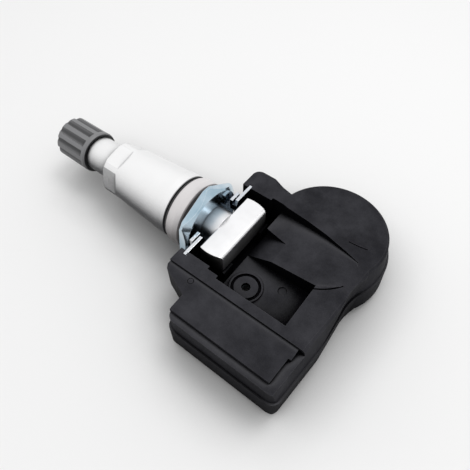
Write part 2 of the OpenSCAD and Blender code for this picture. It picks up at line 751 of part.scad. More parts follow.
// Base tray: the lower shell, with posts for the board and a seat for the battery
post_r = 1.0;
post_inset = 1.2;
post_places = [[board_x0 + post_inset, board_y0 + post_inset], [board_x1 - post_inset, board_y0 + post_inset],
    [board_x1 - post_inset, -3.4], [board_x0 + 6, -2.4]];
ring_post = 0.6 * cell_r;
module base_tray() {
    color([0.13, 0.13, 0.14]) union() {
        difference() {
            tray_form(0, base_z, split_z);
            tray_form(-wall, tray_floor, split_z + over);
            // Room for the tub of the foot pocket
            block([ear_x, -pocket_wide - wall - fit, tub_floor - fit],
                [pocket_x + wall + fit, pocket_wide + wall + fit, split_z + over]);
        }
        for (p = post_places) translate([p[0], p[1], tray_floor - eps])
            cylinder(h = board_under - tray_floor + eps, r = post_r, $fn = corner_fn);
        translate([dome_x, dome_y, tray_floor - eps]) difference() {
            cylinder(h = cell_under - tab_t - tray_floor + eps, r = ring_post, $fn = round_fn);
            translate([0, 0, -over]) cylinder(h = 3 * over, r = ring_post - post_inset, $fn = round_fn);
        }
    }
}

// Circuit board, cut round the battery and clear of the foot pocket
module circuit_board() {
    tub_side = pocket_wide + wall + slack;
    color("darkgreen") prism_z(board_under, board_top) difference() {
        polygon([[board_x0, board_y0], [board_x1, board_y0], [board_x1, dome_y - 4], [tub_x, dome_y - 4],
            [tub_x, -tub_side], [board_x0, -tub_side]]);
        translate([dome_x, dome_y]) circle(r = cell_r + slack, $fn = round_fn);
    }
}

// Battery: a lithium coin cell with its stepped rim
module battery() {
    color("silver") translate([dome_x, dome_y, cell_under]) rotate_extrude($fn = round_fn) polygon([
        [0, 0], [cell_r - 1.6, 0], [cell_r - 1.4, 0.35], [cell_r - 0.5, 0.35], [cell_r, 0.9],
        [cell_r, cell_t - 0.4], [cell_r - 0.4, cell_t], [0, cell_t]]);
}

// Welded tab on one face of the battery, bent to meet the board
tab_w = 2.4;
module battery_tab(face_z, board_z, turn_z) {
    reach = cell_r + 1.4;
    color("gainsboro") translate([dome_x, dome_y, 0]) rotate([0, 0, turn_z]) union() {
        block([cell_r * 0.35, -tab_w / 2, face_z], [reach, tab_w / 2, face_z + tab_t]);
        block([reach - tab_t, -tab_w / 2, min(board_z, face_z)],
            [reach, tab_w / 2, max(board_z, face_z + tab_t)]);
    }
}
module battery_tab_top() {
    battery_tab(cell_top, board_top, -55);
}
module battery_tab_bottom() {
    battery_tab(cell_under - tab_t, board_under, -100);
}

// Pressure sensor chip, with the small hole over its sensing cell
module pressure_sensor() {
    chip_x = tub_x + slack;
    color([0.16, 0.16, 0.17]) difference() {
        block([chip_x, port_y - chip_w / 2, board_top], [chip_x + chip_w, port_y + chip_w / 2, board_top + chip_t]);
        translate([port_x, port_y, board_top + chip_t / 2]) cylinder(h = chip_t, r = port_r, $fn = round_fn);
    }
}

// Soft ring that seals the chip to the underside of the port
module port_seal() {
    color("lightblue") translate([port_x, port_y, board_top + chip_t]) difference() {
        cylinder(h = recess_z - port_wall - board_top - chip_t, r = port_r + 1.2, $fn = round_fn);
        translate([0, 0, -over]) cylinder(h = 3 * over, r = port_r, $fn = round_fn);
    }
}

// Receiving coil: a ferrite bar between two flanges
coil_half = 3.6;
coil_flange = 0.9;
coil_h = 2.4;
module antenna_coil() {
    core = coil_half - coil_flange;
    color([0.35, 0.22, 0.14]) translate([board_x1 - coil_half - slack, board_y0 + 3.9, board_top]) union() {
        for (x = [-coil_half, core]) block([x, -coil_h / 2, 0], [x + coil_flange, coil_h / 2, coil_h]);
        translate([-core - eps, 0, coil_h / 2]) rotate([0, 90, 0])
            cylinder(h = 2 * (core + eps), r = coil_h / 2 - 0.15, $fn = round_fn);
    }
}

// Transmitting antenna: a bent strip that stands over the board on two legs
module loop_antenna() {
    strip = 0.5;
    span = 8;
    height = 3.2;
    color("goldenrod") translate([board_x0 + 4.9, board_y0 + strip, board_top]) union() {
        for (x = [0, span - strip]) block([x, -strip / 2, 0], [x + strip, strip / 2, height]);
        block([0, -strip / 2, height - strip], [span, strip / 2, height]);
    }
}

// Crystal in its metal can
crystal_size = [3.2, 2.5, 0.9];
crystal_place = [10.4, 6.5];
module crystal() {
    color("silver") translate([board_x0 + crystal_place[0], board_y0 + crystal_place[1], board_top])
        cube(crystal_size);
}

// Small chip parts: one row of capacitors beside the edge and two rows of resistors
cap_size = [1, 2, 0.6];
cap_place = [0.8, 3.2];
cap_pitch = 1.9;
cap_count = 5;
res_size = [1.6, 0.8, 0.5];
res_place = [10.8, 12.8];
res_pitch = [2.28, 2.4];
module chip_row(size, place, pitch, count) {
    for (k = [0 : count - 1]) translate([board_x0 + place[0] + k * pitch, board_y0 + place[1], board_top])
        cube(size);
}
module chip_parts() {
    color("tan") {
        chip_row(cap_size, cap_place, cap_pitch, cap_count);
        chip_row(res_size, res_place, res_pitch[0], 3);
        chip_row(res_size, res_place + [0, res_pitch[1]], res_pitch[0], 3);
    }
}

valve_cap();
cap_seal();
valve_stem();
core_body();
core_seal();
core_pin();
core_spring();
collar_nut();
slip_ring();
grommet();
support_ring();
lock_washer();
lock_nut();
retaining_plate();
upper_shell();
base_tray();
circuit_board();
battery();
battery_tab_top();
battery_tab_bottom();
pressure_sensor();
port_seal();
antenna_coil();
loop_antenna();
crystal();
chip_parts();
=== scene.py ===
import math
import bmesh
import bpy
from mathutils import Matrix, Vector


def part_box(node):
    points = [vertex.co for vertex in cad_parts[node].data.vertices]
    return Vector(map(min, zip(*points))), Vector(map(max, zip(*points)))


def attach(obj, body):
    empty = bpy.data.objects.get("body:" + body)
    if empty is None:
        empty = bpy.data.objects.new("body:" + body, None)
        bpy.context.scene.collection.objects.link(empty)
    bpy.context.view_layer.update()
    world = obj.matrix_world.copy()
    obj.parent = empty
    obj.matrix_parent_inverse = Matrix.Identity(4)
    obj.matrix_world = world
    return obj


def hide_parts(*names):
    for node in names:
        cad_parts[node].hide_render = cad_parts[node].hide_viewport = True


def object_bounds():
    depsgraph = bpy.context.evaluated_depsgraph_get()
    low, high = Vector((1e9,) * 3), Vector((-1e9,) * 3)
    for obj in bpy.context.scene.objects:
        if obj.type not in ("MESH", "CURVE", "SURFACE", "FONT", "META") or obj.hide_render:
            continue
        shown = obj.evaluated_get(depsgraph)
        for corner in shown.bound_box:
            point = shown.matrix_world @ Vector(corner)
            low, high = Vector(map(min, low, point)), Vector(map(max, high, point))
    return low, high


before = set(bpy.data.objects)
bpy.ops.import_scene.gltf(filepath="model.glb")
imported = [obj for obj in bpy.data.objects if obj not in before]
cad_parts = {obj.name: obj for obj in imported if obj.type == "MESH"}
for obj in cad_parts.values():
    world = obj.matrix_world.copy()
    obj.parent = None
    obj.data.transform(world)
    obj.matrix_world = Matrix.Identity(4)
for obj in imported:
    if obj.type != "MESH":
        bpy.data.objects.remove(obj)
cadBox = [list(corner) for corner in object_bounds()]
mm = 0.001
print("frame loaded:", len(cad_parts), "nodes")

# the camera's figures are in degrees, millimetres and pixels, and were fitted to the photo
view = dict(turn=37.77, rise=54.961, roll=-0.393, aside=10.927, above=-6.286, away=101.167,
            focalPx=449.97, framePx=470, filmWidth=36, nearClip=5)
# metres, watts, and tones from 0 to 1; the sky's ranges are cosines to its bright middle
light = dict(
    floorTone=0.82, floorLift=1.02, floorShadow=0.30, floorHalf=6.0, floorCloud=9, skyBright=0.97, skyDim=0.40,
    skyAim=(-0.05, 0.08, 0.99), skyRange=(-0.1, 0.45), below=0.55, belowRange=(-0.2, -0.6), shown=0.88,
    keyPower=0.19, keySize=0.10, keyPlace=(0.045, 0.09, 0.28), keyAim=(0.005, 0, 0))
shelterSamples, bevelSamples = 16, 6
mergeReach = 1e-7


def addObject(name, data):
    made = bpy.data.objects.new(name, data)
    bpy.context.scene.collection.objects.link(made)
    return made


def cameraTurn():
    turn, rise, roll = (math.radians(view[k]) for k in ("turn", "rise", "roll"))
    right = Vector((math.cos(turn), math.sin(turn), 0))
    back = Vector((math.sin(turn) * math.cos(rise), -math.cos(turn) * math.cos(rise), math.sin(rise)))
    up = back.cross(right)
    rightRolled = right * math.cos(roll) + up * math.sin(roll)
    upRolled = up * math.cos(roll) - right * math.sin(roll)
    return rightRolled, upRolled, back


def addCamera():
    right, up, back = cameraTurn()
    place = (right * view["aside"] + up * view["above"] + back * view["away"]) * mm
    lens = bpy.data.cameras.new("photoView")
    lens.sensor_width = view["filmWidth"]
    lens.lens = view["focalPx"] / view["framePx"] * lens.sensor_width
    lens.clip_start = view["nearClip"] * mm
    camera = addObject("photoView", lens)
    camera.matrix_world = Matrix.Translation(place) @ Matrix((right, up, back)).transposed().to_4x4()
    bpy.context.scene.camera = camera


def addLamp(name, power, size, place):
    lamp = bpy.data.lights.new(name, "AREA")
    lamp.energy = power
    lamp.size = size
    holder = addObject(name, lamp)
    aim = Vector(light["keyAim"]) - Vector(place)
    holder.matrix_world = Matrix.Translation(place) @ aim.to_track_quat("-Z", "Y").to_matrix().to_4x4()


class Wire:
    # one output socket; sums and products on it add Math nodes
    def __init__(self, web, socket):
        self.web, self.socket = web, socket

    def maths(self, operation, other=None, flip=False):
        pair = [self] if other is None else [other, self] if flip else [self, other]
        return self.web.add("ShaderNodeMath", dict(operation=operation), {k: v for k, v in enumerate(pair)})

    def __add__(self, other): return self.maths("ADD", other)
    def __radd__(self, other): return self.maths("ADD", other, True)
    def __sub__(self, other): return self.maths("SUBTRACT", other)
    def __rsub__(self, other): return self.maths("SUBTRACT", other, True)
    def __mul__(self, other): return self.maths("MULTIPLY", other)
    def __rmul__(self, other): return self.maths("MULTIPLY", other, True)
    def __truediv__(self, other): return self.maths("DIVIDE", other)
    def __pow__(self, other): return self.maths("POWER", other)
    def __gt__(self, other): return self.maths("GREATER_THAN", other)
    def __lt__(self, other): return self.maths("LESS_THAN", other)
    def sine(self): return self.maths("SINE")
    def away(self): return self.maths("ABSOLUTE")
    def fraction(self): return self.maths("FRACT")
    def least(self, other): return self.maths("MINIMUM", other)
    def most(self, other): return self.maths("MAXIMUM", other)


class Web:
    # a node tree; add() makes any node from its settings and the values or links of its sockets
    def add(self, kind, settings=None, values=None, output=0):
        made = self.tree.nodes.new(kind)
        for key, value in (settings or {}).items():
            if key == "stops":
                ramp = made.color_ramp
                while len(ramp.elements) < len(value):
                    ramp.elements.new(1)
                for element, (place, tone) in zip(ramp.elements, value):
                    element.position = place
                    element.color = (*tone, 1) if isinstance(tone, tuple) else (tone, tone, tone, 1)
            else:
                setattr(made, key, value)
        for key, value in (values or {}).items():
            if isinstance(value, Wire):
                self.tree.links.new(value.socket, made.inputs[key])
            else:
                made.inputs[key].default_value = value
        return Wire(self, made.outputs[output])


class Finish(Web):
    # one material with its Principled shader, built up node by node
    def __init__(self, name, **plain):
        self.material = bpy.data.materials.new(name)
        self.material.use_nodes = True
        self.tree = self.material.node_tree
        self.shader = self.tree.nodes["Principled BSDF"]
        for words, value in plain.items():
            self.shader.inputs[self.spoken(words)].default_value = value

    @staticmethod
    def spoken(words):
        # coatWeight -> Coat Weight, ior -> IOR
        if words == "ior":
            return "IOR"
        if words == "specular":
            return "Specular IOR Level"
        return "".join(" " + c if c.isupper() else c for c in words[0].upper() + words[1:]).strip()

    def node(self, kind, settings=None, values=None, output=0):
        return self.add("ShaderNode" + kind, settings, values, output)

    def feed(self, **links):
        for words, wire in links.items():
            self.tree.links.new(wire.socket, self.shader.inputs[self.spoken(words)])
        return self

    def place(self):
        return self.node("TexCoord", output="Object")

    def parts(self):
        split = self.node("SeparateXYZ", values={0: self.place()}).socket.node
        return [Wire(self, split.outputs[k]) for k in range(3)]

    def noise(self, scale, detail=3.0, rough=0.55, stretch=None):
        vector = self.place()
        if stretch:
            vector = self.node("Mapping", dict(vector_type="POINT"), {"Vector": vector, "Scale": stretch})
        return self.node("TexNoise", dict(noise_dimensions="3D"),
                         {"Vector": vector, "Scale": scale, "Detail": detail, "Roughness": rough})

    def spots(self, scale):
        return self.node("TexVoronoi", dict(feature="F1"),
                         {"Vector": self.place(), "Scale": scale}, "Distance")

    def ramp(self, wire, *stops):
        return self.node("ValToRGB", dict(stops=stops), {"Fac": wire})

    def openness(self, reach, least, most):
        # 1 where the surface is open to the light, 0 in nooks and close over the ground
        shelter = self.node("AmbientOcclusion", dict(samples=shelterSamples), {"Distance": reach * mm}, "AO")
        return self.node("MapRange", None, {"Value": shelter, "From Min": least, "From Max": most})

    def edges(self, radius, gain=4.0):
        # 1 along the edges, found where a rounded normal leaves the true one
        soft = self.node("Bevel", dict(samples=bevelSamples), {"Radius": radius * mm})
        hard = self.node("NewGeometry", output="Normal")
        same = self.node("VectorMath", dict(operation="DOT_PRODUCT"), {0: soft, 1: hard}, "Value")
        return ((1 - same) * gain).least(1.0)

    def blend(self, mask, low, high):
        # colours only go through Mix nodes, whose colour sockets are 6, 7 and, going out, 2
        low, high = ((*tone, 1) if isinstance(tone, tuple) else tone for tone in (low, high))
        return self.node("Mix", dict(data_type="RGBA"), {0: mask, 6: low, 7: high}, 2)

    def relief(self, height, depth, strength, roundEdges=0.0):
        values = {"Height": height, "Distance": depth, "Strength": strength}
        if roundEdges:
            values["Normal"] = self.node("Bevel", dict(samples=bevelSamples), {"Radius": roundEdges})
        return self.feed(normal=self.node("Bump", None, values))


# grain, pits and edge in millimetres
housing = dict(
    black=(0.015, 0.015, 0.0178), worn=(0.052, 0.052, 0.059), nook=(0.0020, 0.0020, 0.0026),
    edgeHighlight=(0.12, 0.12, 0.128), dust=(0.105, 0.105, 0.113), grain=0.16, pits=0.35, edge=0.20,
    rough=0.42, sheen=0.015)


def housingPlastic():
    # spark-eroded black moulding: fine pits, faint flow clouds, slightly paler high spots; painted shade in
    # nooks and low down near the ground, painted highlights along edges, and painted light on the floors of
    # shallow recesses
    f = Finish("housingPlastic", ior=1.5, specular=housing["sheen"])
    cloud = f.noise(120, 5, 0.65)
    grain = f.noise(1 / (housing["grain"] * mm), 2, 0.6)
    pits = f.spots(1 / (housing["pits"] * mm))
    mottle = f.ramp(cloud * 0.75 + grain * 0.25, (0.36, 0.05), (0.64, 0.75))
    facing = f.node("SeparateXYZ", None, {0: f.node("NewGeometry", output="Normal")}, "Z")
    # painted light: up-facing floors of shallow recesses are painted a little paler, deep ones not at all
    litRecess = (1 - f.openness(6, 0.5, 0.95)) * f.openness(6, 0.15, 0.45) * (facing > 0.9)
    top = f.blend(litRecess, f.blend(mottle, housing["black"], housing["worn"]), housing["dust"])
    # painted highlight: edges are blended, in grainy patches, to a paler tone
    paintedHighlight = f.blend(f.edges(0.16) * f.ramp(grain, (0.3, 0.3), (0.7, 0.9)), top, housing["edgeHighlight"])
    # painted shade: nooks and faces low down near the ground are blended to the darkest tone
    f.feed(baseColor=f.blend(f.openness(50, 0.52, 0.74), housing["nook"], paintedHighlight),
           roughness=housing["rough"] + 0.14 * cloud + 0.12 * grain)
    return f.relief(grain * 0.7 + pits * 0.5 + cloud, 0.02 * mm, 0.7, housing["edge"] * mm)


# the flutes' floor and depth in millimetres
cap = dict(
    grey=(0.050, 0.0505, 0.053), pale=(0.185, 0.186, 0.192), groove=(0.012, 0.012, 0.013),
    edgeHighlight=(0.30, 0.30, 0.305), fluteFloor=4.5, fluteDepth=0.7, rough=0.36)


def capPlastic():
    # moulded grey cap: painted a little paler on the ribs and darker on the flute floors, as painted light
    # and shade; also painted shade in its grooves and low down near the ground, and painted highlights along
    # its edges
    f = Finish("capPlastic", ior=1.47)
    y, z = f.parts()[1:]
    radius = (y * y + z * z) ** 0.5
    height = (radius - cap["fluteFloor"] * mm) / (cap["fluteDepth"] * mm)
    # painted light and shade: paler on the rib tops, darker down on the flute floors
    paintedHighlight = f.ramp(height, (0.10, 0.0), (0.50, 1.0))
    cloud = f.noise(420, 4)
    grain = f.noise(1 / (0.12 * mm), 2)
    body = f.blend(paintedHighlight, cap["grey"], cap["pale"])
    # painted shade: grooves and faces low down near the ground go to the darkest tone
    clear = f.openness(1.0, 0.35, 0.85) * f.openness(50, 0.42, 0.92)
    # painted highlight: edges are blended to a paler grey
    worn = f.blend(f.edges(0.15, 3.0), f.blend(clear, cap["groove"], body), cap["edgeHighlight"])
    f.feed(baseColor=worn, roughness=cap["rough"] + 0.14 * cloud)
    return f.relief(grain + cloud, 0.010 * mm, 0.6, 0.12 * mm)


def blastedAluminium():
    # fine blasted aluminium with a trace of the turning under it, with painted shade where faces meet and
    # along its edges, and painted shade on its underside and near other parts
    f = Finish("blastedAluminium", metallic=1.0)
    x = f.parts()[0]
    turned = (x * (2 * math.pi / (0.11 * mm))).sine()
    grain = f.noise(1 / (0.07 * mm), 3, 0.65)
    cloud = f.noise(160, 3)
    # painted shade: where faces meet, along edges and in tight corners the colour goes to dark grey
    creaseShade = f.edges(0.25, 5.0) + 0.8 * (1 - f.openness(2.5, 0.5, 0.95))
    pale = f.blend(cloud, (0.90, 0.90, 0.90), (0.96, 0.96, 0.965))
    openTone = f.blend(creaseShade.least(0.7), pale, (0.16, 0.16, 0.165))
    # painted shade: the underside and faces near other parts are blended to near black
    f.feed(baseColor=f.blend(f.openness(60, 0.66, 0.95), (0.06, 0.06, 0.063), openTone),
           roughness=0.30 + 0.08 * cloud + 0.10 * grain)
    return f.relief(grain + 0.15 * turned, 0.006 * mm, 0.5, 0.12 * mm)


def machinedAluminium():
    # brighter machined bar and land, with cutter lines along one way, and painted shade where other parts
    # come close
    f = Finish("machinedAluminium", metallic=1.0)
    lines = f.noise(1 / (0.05 * mm), 2, 0.5, (1, 0.04, 1))
    cloud = f.noise(300, 3)
    openTone = f.blend(cloud, (0.78, 0.78, 0.79), (0.88, 0.88, 0.89))
    # painted shade: faces close to other parts are blended to near black
    f.feed(baseColor=f.blend(f.openness(5, 0.25, 0.8), (0.05, 0.05, 0.055), openTone),
           roughness=0.27 + 0.12 * cloud + 0.08 * lines)
    return f.relief(lines, 0.004 * mm, 0.5, 0.18 * mm)


zinc = dict(
    bluedZinc=((0.36, 0.50, 0.60), (0.50, 0.62, 0.71), (0.66, 0.74, 0.79)),
    brightZinc=((0.62, 0.66, 0.72), (0.74, 0.76, 0.80), (0.84, 0.85, 0.86)))


def zincPlate(name):
    # bright zinc, with more or less of its blue passivation and with rolled streaks; painted highlights
    # along its edges and painted shade where other parts come close
    f = Finish(name, metallic=1.0)
    cloud = f.noise(170, 3)
    streak = f.noise(900, 3, 0.6, (0.2, 1, 1))
    deep, middle, pale = zinc[name]
    tint = f.ramp(cloud, (0.3, deep), (0.5, middle), (0.7, pale))
    # painted highlight: edges are blended to near white
    edgeLit = f.blend(f.edges(0.15), f.blend(0.3 * streak, tint, deep), (0.92, 0.95, 0.97))
    # painted shade: faces close to other parts are blended to a dark blue
    f.feed(baseColor=f.blend(f.openness(3, 0.2, 0.75), (0.06, 0.09, 0.13), edgeLit),
           roughness=0.10 + 0.12 * streak)
    return f.relief(streak, 0.005 * mm, 0.4, 0.10 * mm)


def blackRubber():
    f = Finish("blackRubber", ior=1.5)
    cloud = f.noise(600, 4)
    bloom = f.noise(90, 3)
    f.feed(baseColor=f.blend(bloom, (0.012, 0.012, 0.012), (0.030, 0.030, 0.031)),
           roughness=0.50 + 0.2 * cloud)
    return f.relief(cloud, 0.015 * mm, 0.5, 0.08 * mm)


def paleRing():
    # smooth pale thrust ring, a touch of pink, with faint mould clouds, and painted shade on the faces low
    # down and near other parts
    f = Finish("paleRing", ior=1.49)
    cloud = f.noise(240, 4)
    grain = f.noise(1 / (0.15 * mm), 2)
    openTone = f.blend(cloud, (0.60, 0.575, 0.58), (0.70, 0.68, 0.68))
    # painted shade: faces low down and near other parts are blended to a dark grey
    f.feed(baseColor=f.blend(f.openness(40, 0.60, 0.95), (0.11, 0.10, 0.10), openTone),
           roughness=0.26 + 0.12 * grain)
    return f.relief(grain, 0.004 * mm, 0.4, 0.1 * mm)


def machinedBrass():
    f = Finish("machinedBrass", metallic=1.0)
    x = f.parts()[0]
    turned = (x * (2 * math.pi / (0.14 * mm))).sine()
    cloud = f.noise(420, 3)
    f.feed(baseColor=f.blend(cloud, (0.63, 0.46, 0.20), (0.80, 0.64, 0.34)),
           roughness=0.22 + 0.12 * cloud)
    return f.relief(turned, 0.004 * mm, 0.4)


def boardLacquer():
    # green lacquer over copper tracks, which stand a little proud and paler
    f = Finish("boardLacquer", ior=1.52)
    x = f.parts()[0]
    tracks = ((x / (1.27 * mm)).fraction() - 0.5).away() < 0.16
    breaks = f.noise(330, 1) > 0.52
    copper = tracks * breaks
    f.feed(baseColor=f.blend(copper, (0.006, 0.060, 0.022), (0.020, 0.130, 0.050)),
           roughness=0.24 + 0.1 * f.noise(900, 2))
    return f.relief(copper, 0.02 * mm, 0.6)


# finishes of one pattern: two tones, the roughness and a slight relief all follow one noise;
# rough is its least value and its spread, depth is in millimetres
oneNoise = dict(
    palePlastic=dict(shader=dict(ior=1.4), noise=(500, 3), low=(0.74, 0.74, 0.71), high=(0.84, 0.84, 0.82),
                     rough=(0.38, 0.15), depth=0.006, strength=0.4),
    # the lock washer's near-black steel is painted shade, standing in for the shadowed gap between support
    # ring and lock nut
    shadowBlackSteel=dict(shader=dict(ior=1.4), noise=(380, 4), low=(0.004, 0.004, 0.005),
                    high=(0.014, 0.014, 0.016), rough=(0.42, 0.25), depth=0.006, strength=0.4),
    springSteel=dict(shader=dict(metallic=1.0), noise=(2600, 2), low=(0.48, 0.48, 0.50),
                     high=(0.66, 0.66, 0.67), rough=(0.22, 0.15), depth=0.003, strength=0.4),
    cellSteel=dict(shader=dict(metallic=1.0), noise=(1800, 2, 0.5, (1, 0.05, 1)), low=(0.58, 0.58, 0.57),
                   high=(0.74, 0.74, 0.73), rough=(0.20, 0.16), depth=0.004, strength=0.4),
    nickelStrip=dict(shader=dict(metallic=1.0), noise=(900, 3), low=(0.62, 0.59, 0.52),
                     high=(0.76, 0.74, 0.68), rough=(0.24, 0.16), depth=0.004, strength=0.4),
    chipResin=dict(shader=dict(ior=1.55), noise=(1 / (0.10 * mm), 2), low=(0.014, 0.014, 0.015),
                   high=(0.040, 0.040, 0.042), rough=(0.42, 0.2), depth=0.012, strength=0.6),
    softGel=dict(shader=dict(ior=1.41), noise=(500, 3), low=(0.020, 0.024, 0.026),
                 high=(0.040, 0.046, 0.050), rough=(0.22, 0.2), depth=0.01, strength=0.4),
    copperWire=dict(shader=dict(metallic=1.0), noise=(1200, 2), low=(0.38, 0.13, 0.045),
                    high=(0.56, 0.24, 0.09), rough=(0.24, 0.14), depth=0.004, strength=0.4),
    ferrite=dict(shader=dict(ior=1.6), noise=(1 / (0.12 * mm), 3), low=(0.028, 0.026, 0.025),
                 high=(0.062, 0.058, 0.055), rough=(0.5, 0.2), depth=0.015, strength=0.6),
    chipCeramic=dict(shader=dict(ior=1.6), noise=(700, 3), low=(0.30, 0.20, 0.11), high=(0.46, 0.34, 0.20),
                     rough=(0.32, 0.2), depth=0.01, strength=0.5))


def oneNoiseFinish(name):
    look = oneNoise[name]
    f = Finish(name, **look["shader"])
    noise = f.noise(*look["noise"])
    least, spread = look["rough"]
    f.feed(baseColor=f.blend(noise, look["low"], look["high"]), roughness=least + spread * noise)
    return f.relief(noise, look["depth"] * mm, look["strength"])


def dress(node, finish):
    # a CAD node keeps its mesh and takes a finish in its slots
    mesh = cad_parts[node].data
    mesh.materials.clear()
    mesh.materials.append(finish.material)


finishes = {make.__name__: make() for make in (
    housingPlastic, capPlastic, blastedAluminium, machinedAluminium, blackRubber, paleRing, machinedBrass,
    boardLacquer)}
finishes.update({name: oneNoiseFinish(name) for name in oneNoise})
finishes.update({name: zincPlate(name) for name in zinc})
nodeFinish = dict(
    valve_cap="capPlastic", cap_seal="blackRubber", valve_stem="machinedAluminium",
    core_body="machinedBrass", core_seal="palePlastic", core_pin="machinedBrass",
    core_spring="springSteel", collar_nut="blastedAluminium", slip_ring="palePlastic",
    # the lock washer's near-black finish is painted shade for the gap between ring and nut
    grommet="blackRubber", support_ring="paleRing", lock_washer="shadowBlackSteel", lock_nut="bluedZinc",
    retaining_plate="brightZinc", upper_shell="housingPlastic", base_tray="housingPlastic",
    circuit_board="boardLacquer", battery="cellSteel", battery_tab_top="nickelStrip",
    battery_tab_bottom="nickelStrip", pressure_sensor="chipResin", port_seal="softGel",
    antenna_coil="ferrite", loop_antenna="nickelStrip", crystal="cellSteel", chip_parts="chipCeramic")
for node, finish in nodeFinish.items():
    dress(node, finishes[finish])
print("finishes made:", len(finishes))


class Recipe(Web):
    # a Geometry Nodes tree with named inputs, which bake() turns into a plain mesh
    def __init__(self, name, **sizes):
        self.name = name
        self.tree = bpy.data.node_groups.new(name, "GeometryNodeTree")
        self.tree.interface.new_socket("Geometry", in_out="OUTPUT", socket_type="NodeSocketGeometry")
        entry = self.tree.nodes.new("NodeGroupInput")
        self.values = {}
        for label, value in sizes.items():
            kind = "NodeSocketInt" if isinstance(value, int) else "NodeSocketFloat"
            socket = self.tree.interface.new_socket(label, in_out="INPUT", socket_type=kind)
            self.values[socket.identifier] = value
        self.sizes = {label: Wire(self, entry.outputs[k]) for k, label in enumerate(sizes)}

    def step(self, kind, settings=None, values=None, output=0):
        return self.add("GeometryNode" + kind, settings, values, output)

    def finishWith(self, geometry, finish):
        solid = self.step("RealizeInstances", None, {0: geometry})
        dressed = self.step("SetMaterial", None, {"Geometry": solid, "Material": finish.material})
        out = self.tree.nodes.new("NodeGroupOutput")
        self.tree.links.new(dressed.socket, out.inputs[0])

    def bake(self, body):
        holder = addObject(self.name, bpy.data.meshes.new(self.name))
        growth = holder.modifiers.new(self.name, "NODES")
        growth.node_group = self.tree
        for identifier, value in self.values.items():
            growth[identifier] = value
        bpy.context.view_layer.update()
        grown = bpy.data.meshes.new_from_object(holder.evaluated_get(bpy.context.evaluated_depsgraph_get()))
        holder.modifiers.clear()
        holder.data = grown
        grown.name = self.name
        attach(holder, body)
        return holder


def helix(recipe, profile, runOut, aside=0.0, above=0.0):
    # sweeps a profile along a helix that runs along X, thinning it over its first and last part turn
    size = recipe.sizes
    turns = size["length"] / size["pitch"]
    coil = recipe.step("CurveSpiral", None, {
        "Resolution": size["steps"], "Rotations": turns, "Start Radius": size["radius"],
        "End Radius": size["radius"], "Height": size["length"]})
    upright = recipe.step("SetCurveNormal", dict(mode="Z_UP"), {"Curve": coil})
    along = recipe.step("SplineParameter")
    thin = (along.least(1 - along) * turns / runOut).least(1.0)
    shaped = recipe.step("SetCurveRadius", None, {"Curve": upright, "Radius": thin})
    swept = recipe.step("CurveToMesh", None, {"Curve": shaped, "Profile Curve": profile, "Fill Caps": True})
    start = recipe.add("ShaderNodeCombineXYZ", None, {"X": size["start"], "Y": aside, "Z": above})
    return recipe.step("Transform", None, {"Geometry": swept, "Translation": start,
                                           "Rotation": (0, math.radians(90), 0)})


def mergedCopy(node):
    # a CAD node's mesh is never changed, so a copy is made, with its split corners joined
    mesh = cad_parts[node].data.copy()
    form = bmesh.new()
    form.from_mesh(mesh)
    bmesh.ops.remove_doubles(form, verts=form.verts, dist=mergeReach)
    return mesh, form


# millimetres; skin holds the least and the greatest radius of the CAD stem's threaded part
thread = dict(root=3.42, ridge=0.41, foot=0.72, crest=0.14, pitch=0.794, start=-34.1, length=30.8,
              end=-2.9, skin=(3.6, 3.95), steps=40, runOut=0.8)


def cutThread():
    # the stem's own thread, 0.794 mm pitch: a core turned down to the root, and the ridge wound on it
    recipe = Recipe("stemThread", radius=thread["root"] * mm, pitch=thread["pitch"] * mm,
                    length=thread["length"] * mm, start=thread["start"] * mm, steps=thread["steps"])
    ridge = recipe.step("CurvePrimitiveQuadrilateral", dict(mode="TRAPEZOID"), {
        "Bottom Width": thread["foot"] * mm, "Top Width": thread["crest"] * mm,
        "Height": thread["ridge"] * 2 * mm, "Offset": 0.0})
    recipe.finishWith(helix(recipe, ridge, thread["runOut"]), finishes["machinedAluminium"])
    ridgePiece = recipe.bake("valve")
    mesh, form = mergedCopy("valve_stem")
    least, most = (radius * mm for radius in thread["skin"])
    for vert in form.verts:
        out = math.hypot(vert.co.y, vert.co.z)
        if vert.co.x < thread["end"] * mm and least < out < most:
            vert.co.y *= thread["root"] * mm / out
            vert.co.z *= thread["root"] * mm / out
    form.to_mesh(mesh)
    form.free()
    stem = addObject("threadedStem", mesh)
    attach(stem, "valve")
    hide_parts("valve_stem")
    radii = [math.hypot(v.co.y, v.co.z) / mm for v in ridgePiece.data.vertices]
    print("thread cut:", len(ridgePiece.data.polygons), "faces, radius",
          round(min(radii), 3), round(max(radii), 3))


# millimetres; barInset is the step from the flanges' half height down to the bar, lift and
# endGap are in wire radii
winding = dict(wire=0.055, pitch=0.125, flange=0.9, barInset=0.15, lift=0.8, endGap=1.5,
               steps=24, sides=6, runOut=0.3)


def windCoil():
    # copper wire round the ferrite bar, one layer between its flanges
    low, high = (Vector(corner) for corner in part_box("antenna_coil"))
    middle = (low + high) / 2
    wire, flange = winding["wire"] * mm, winding["flange"] * mm
    gap = winding["endGap"] * wire
    recipe = Recipe("coilWinding",
                    radius=(high.z - low.z) / 2 - winding["barInset"] * mm + wire * winding["lift"],
                    pitch=winding["pitch"] * mm, length=high.x - low.x - 2 * flange - 2 * gap,
                    start=low.x + flange + gap, steps=winding["steps"])
    section = recipe.step("CurvePrimitiveCircle", dict(mode="RADIUS"),
                          {"Resolution": winding["sides"], "Radius": wire})
    recipe.finishWith(helix(recipe, section, winding["runOut"], middle.y, middle.z), finishes["copperWire"])
    wound = recipe.bake("sensor")
    print("coil wound:", len(wound.data.polygons), "faces")


